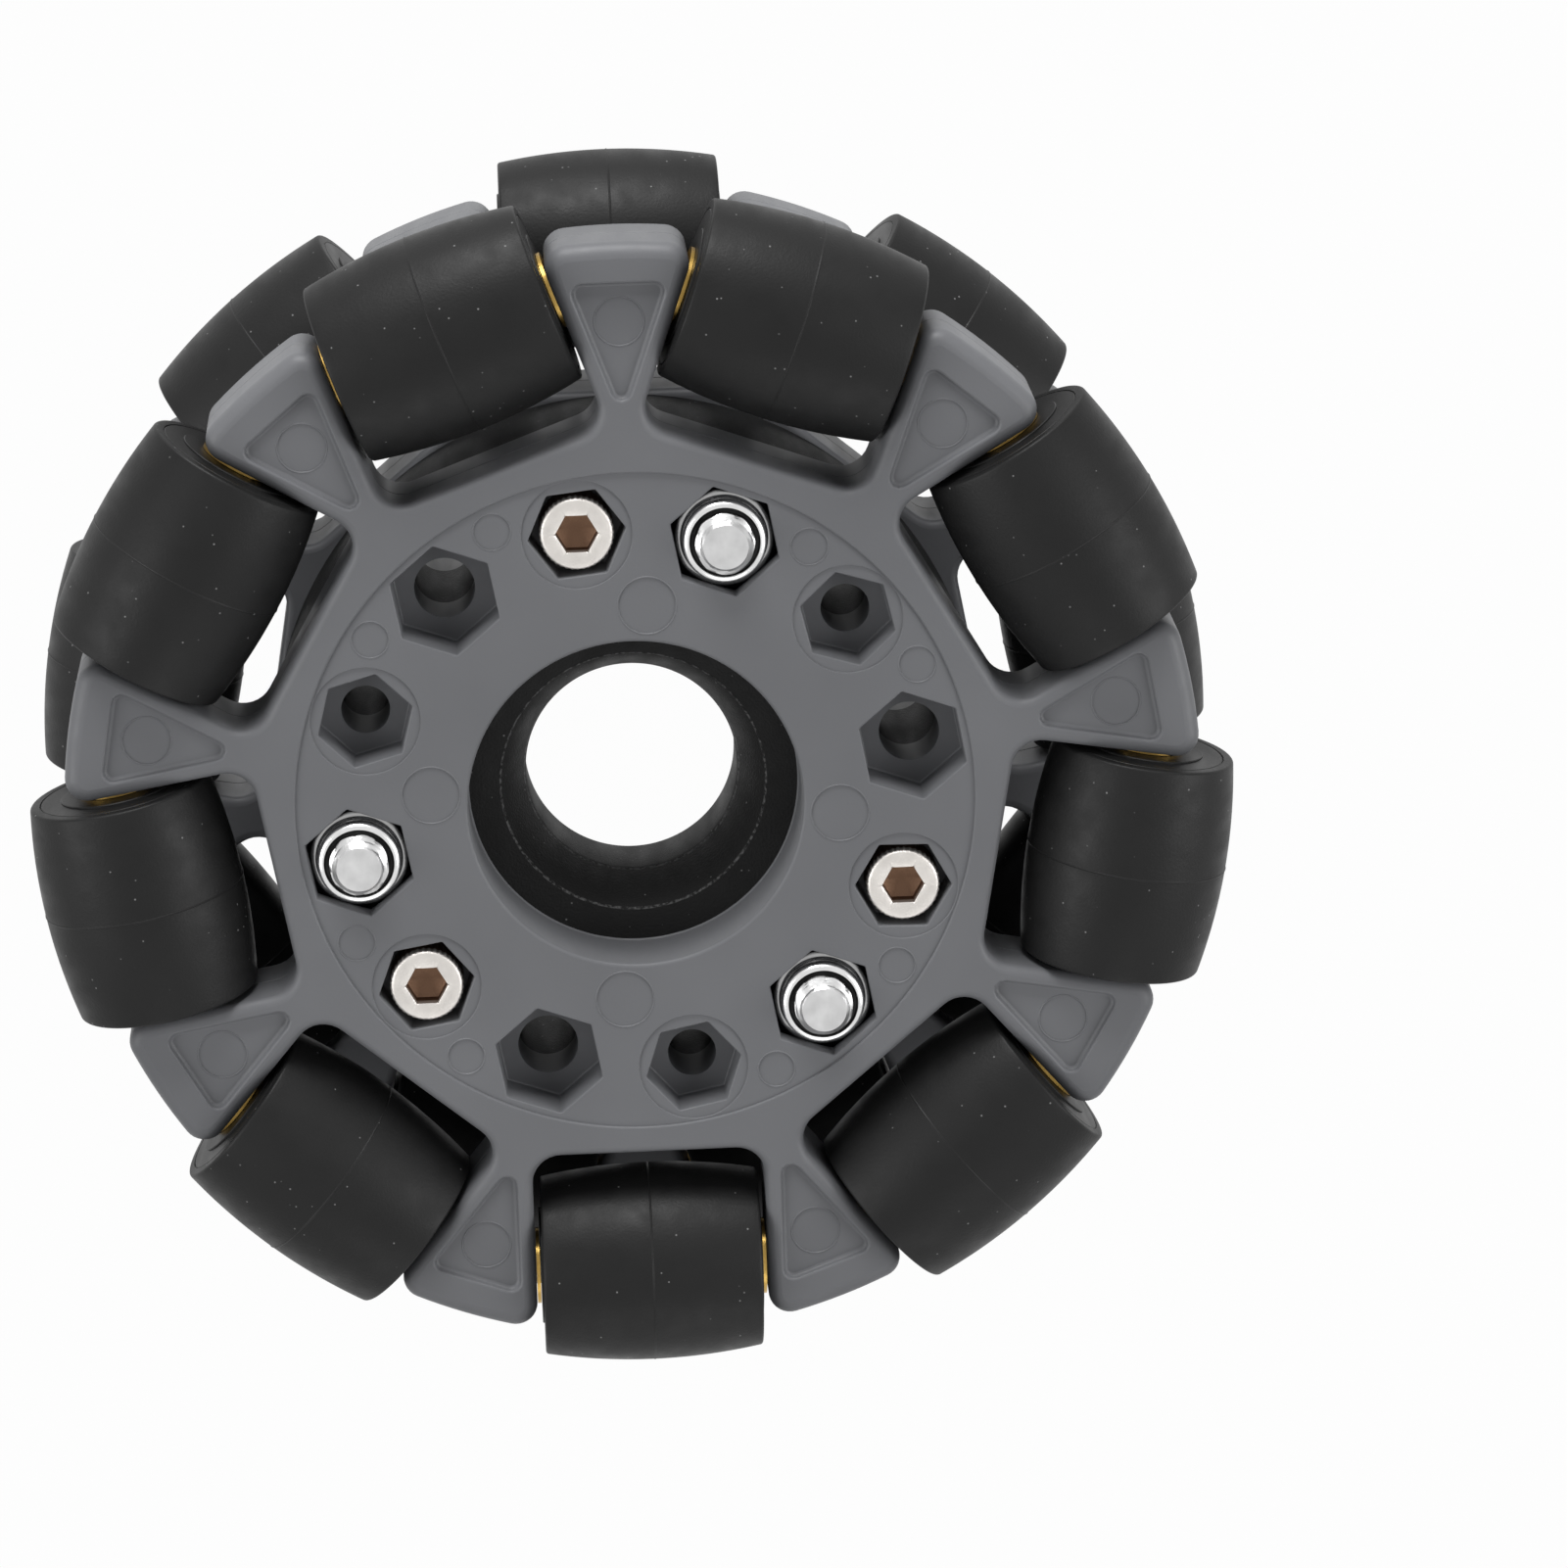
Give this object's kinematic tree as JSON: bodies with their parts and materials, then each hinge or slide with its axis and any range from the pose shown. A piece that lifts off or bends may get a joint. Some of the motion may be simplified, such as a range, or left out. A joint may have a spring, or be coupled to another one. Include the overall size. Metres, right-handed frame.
{
  "type": "omni wheel",
  "caption": "Double-row omni wheel: two staggered rows of crowned rubber rollers on pins in a clamped plastic hub with a stepped through bore and a bolt circle.",
  "frame": {"origin": "centre of the wheel, on its axis and midway between the two rows of rollers", "axes": "+Z along the wheel's axis, out of the front face; +Y towards the front row's top arm; the wheel lies on its back row of rollers"},
  "size_m": [0.163, 0.163, 0.0614],
  "materials": {
    "shell_plastic": "fine textured nylon",
    "core_plastic": "black, fine textured",
    "tread_rubber": "satin",
    "roller_plastic": "satin",
    "pin_steel": "ground",
    "washer_brass": "plain",
    "screw_steel": "zinc plated",
    "bolt_steel": "zinc plated",
    "nut_steel": "zinc plated"
  },
  "bodies": {
    "hub": {"hub_core": "core_plastic", "front_outer_shell": "shell_plastic", "front_inner_shell": "shell_plastic", "back_inner_shell": "shell_plastic", "back_outer_shell": "shell_plastic", "front_roller_pins": "pin_steel", "back_roller_pins": "pin_steel", "front_roller_washers": "washer_brass", "back_roller_washers": "washer_brass", "m6_socket_screws": "screw_steel", "m6_nuts": "nut_steel", "m8_bolts": "bolt_steel", "m8_nuts": "nut_steel"},
    "front_roller_1": {"front_tread_1": "tread_rubber", "front_roller_core_1": "roller_plastic"},
    "front_roller_2": {"front_tread_2": "tread_rubber", "front_roller_core_2": "roller_plastic"},
    "front_roller_3": {"front_tread_3": "tread_rubber", "front_roller_core_3": "roller_plastic"},
    "front_roller_4": {"front_tread_4": "tread_rubber", "front_roller_core_4": "roller_plastic"},
    "front_roller_5": {"front_tread_5": "tread_rubber", "front_roller_core_5": "roller_plastic"},
    "front_roller_6": {"front_tread_6": "tread_rubber", "front_roller_core_6": "roller_plastic"},
    "front_roller_7": {"front_tread_7": "tread_rubber", "front_roller_core_7": "roller_plastic"},
    "front_roller_8": {"front_tread_8": "tread_rubber", "front_roller_core_8": "roller_plastic"},
    "front_roller_9": {"front_tread_9": "tread_rubber", "front_roller_core_9": "roller_plastic"},
    "back_roller_1": {"back_tread_1": "tread_rubber", "back_roller_core_1": "roller_plastic"},
    "back_roller_2": {"back_tread_2": "tread_rubber", "back_roller_core_2": "roller_plastic"},
    "back_roller_3": {"back_tread_3": "tread_rubber", "back_roller_core_3": "roller_plastic"},
    "back_roller_4": {"back_tread_4": "tread_rubber", "back_roller_core_4": "roller_plastic"},
    "back_roller_5": {"back_tread_5": "tread_rubber", "back_roller_core_5": "roller_plastic"},
    "back_roller_6": {"back_tread_6": "tread_rubber", "back_roller_core_6": "roller_plastic"},
    "back_roller_7": {"back_tread_7": "tread_rubber", "back_roller_core_7": "roller_plastic"},
    "back_roller_8": {"back_tread_8": "tread_rubber", "back_roller_core_8": "roller_plastic"},
    "back_roller_9": {"back_tread_9": "tread_rubber", "back_roller_core_9": "roller_plastic"}
  },
  "joints": [
    {"name": "front_roller_1_spin", "type": "hinge", "parent": "hub", "child": "front_roller_1", "pos_m": [-0.02319, 0.06371, 0.017], "axis": [-0.9397, -0.342, 0], "continuous": true},
    {"name": "front_roller_2_spin", "type": "hinge", "parent": "hub", "child": "front_roller_2", "pos_m": [-0.05872, 0.0339, 0.017], "axis": [-0.5, -0.866, 0], "continuous": true},
    {"name": "front_roller_3_spin", "type": "hinge", "parent": "hub", "child": "front_roller_3", "pos_m": [-0.06677, -0.01177, 0.017], "axis": [0.1736, -0.9848, 0], "continuous": true},
    {"name": "front_roller_4_spin", "type": "hinge", "parent": "hub", "child": "front_roller_4", "pos_m": [-0.04358, -0.05194, 0.017], "axis": [0.766, -0.6428, 0], "continuous": true},
    {"name": "front_roller_5_spin", "type": "hinge", "parent": "hub", "child": "front_roller_5", "pos_m": [0, -0.0678, 0.017], "axis": [1, 0, 0], "continuous": true},
    {"name": "front_roller_6_spin", "type": "hinge", "parent": "hub", "child": "front_roller_6", "pos_m": [0.04358, -0.05194, 0.017], "axis": [0.766, 0.6428, 0], "continuous": true},
    {"name": "front_roller_7_spin", "type": "hinge", "parent": "hub", "child": "front_roller_7", "pos_m": [0.06677, -0.01177, 0.017], "axis": [0.1736, 0.9848, 0], "continuous": true},
    {"name": "front_roller_8_spin", "type": "hinge", "parent": "hub", "child": "front_roller_8", "pos_m": [0.05872, 0.0339, 0.017], "axis": [-0.5, 0.866, 0], "continuous": true},
    {"name": "front_roller_9_spin", "type": "hinge", "parent": "hub", "child": "front_roller_9", "pos_m": [0.02319, 0.06371, 0.017], "axis": [-0.9397, 0.342, 0], "continuous": true},
    {"name": "back_roller_1_spin", "type": "hinge", "parent": "hub", "child": "back_roller_1", "pos_m": [0, 0.0678, -0.017], "axis": [-1, 0, 0], "continuous": true},
    {"name": "back_roller_2_spin", "type": "hinge", "parent": "hub", "child": "back_roller_2", "pos_m": [-0.04358, 0.05194, -0.017], "axis": [-0.766, -0.6428, 0], "continuous": true},
    {"name": "back_roller_3_spin", "type": "hinge", "parent": "hub", "child": "back_roller_3", "pos_m": [-0.06677, 0.01177, -0.017], "axis": [-0.1736, -0.9848, 0], "continuous": true},
    {"name": "back_roller_4_spin", "type": "hinge", "parent": "hub", "child": "back_roller_4", "pos_m": [-0.05872, -0.0339, -0.017], "axis": [0.5, -0.866, 0], "continuous": true},
    {"name": "back_roller_5_spin", "type": "hinge", "parent": "hub", "child": "back_roller_5", "pos_m": [-0.02319, -0.06371, -0.017], "axis": [0.9397, -0.342, 0], "continuous": true},
    {"name": "back_roller_6_spin", "type": "hinge", "parent": "hub", "child": "back_roller_6", "pos_m": [0.02319, -0.06371, -0.017], "axis": [0.9397, 0.342, 0], "continuous": true},
    {"name": "back_roller_7_spin", "type": "hinge", "parent": "hub", "child": "back_roller_7", "pos_m": [0.05872, -0.0339, -0.017], "axis": [0.5, 0.866, 0], "continuous": true},
    {"name": "back_roller_8_spin", "type": "hinge", "parent": "hub", "child": "back_roller_8", "pos_m": [0.06677, 0.01177, -0.017], "axis": [-0.1736, 0.9848, 0], "continuous": true},
    {"name": "back_roller_9_spin", "type": "hinge", "parent": "hub", "child": "back_roller_9", "pos_m": [0.04358, 0.05194, -0.017], "axis": [-0.766, 0.6428, 0], "continuous": true}
  ]
}
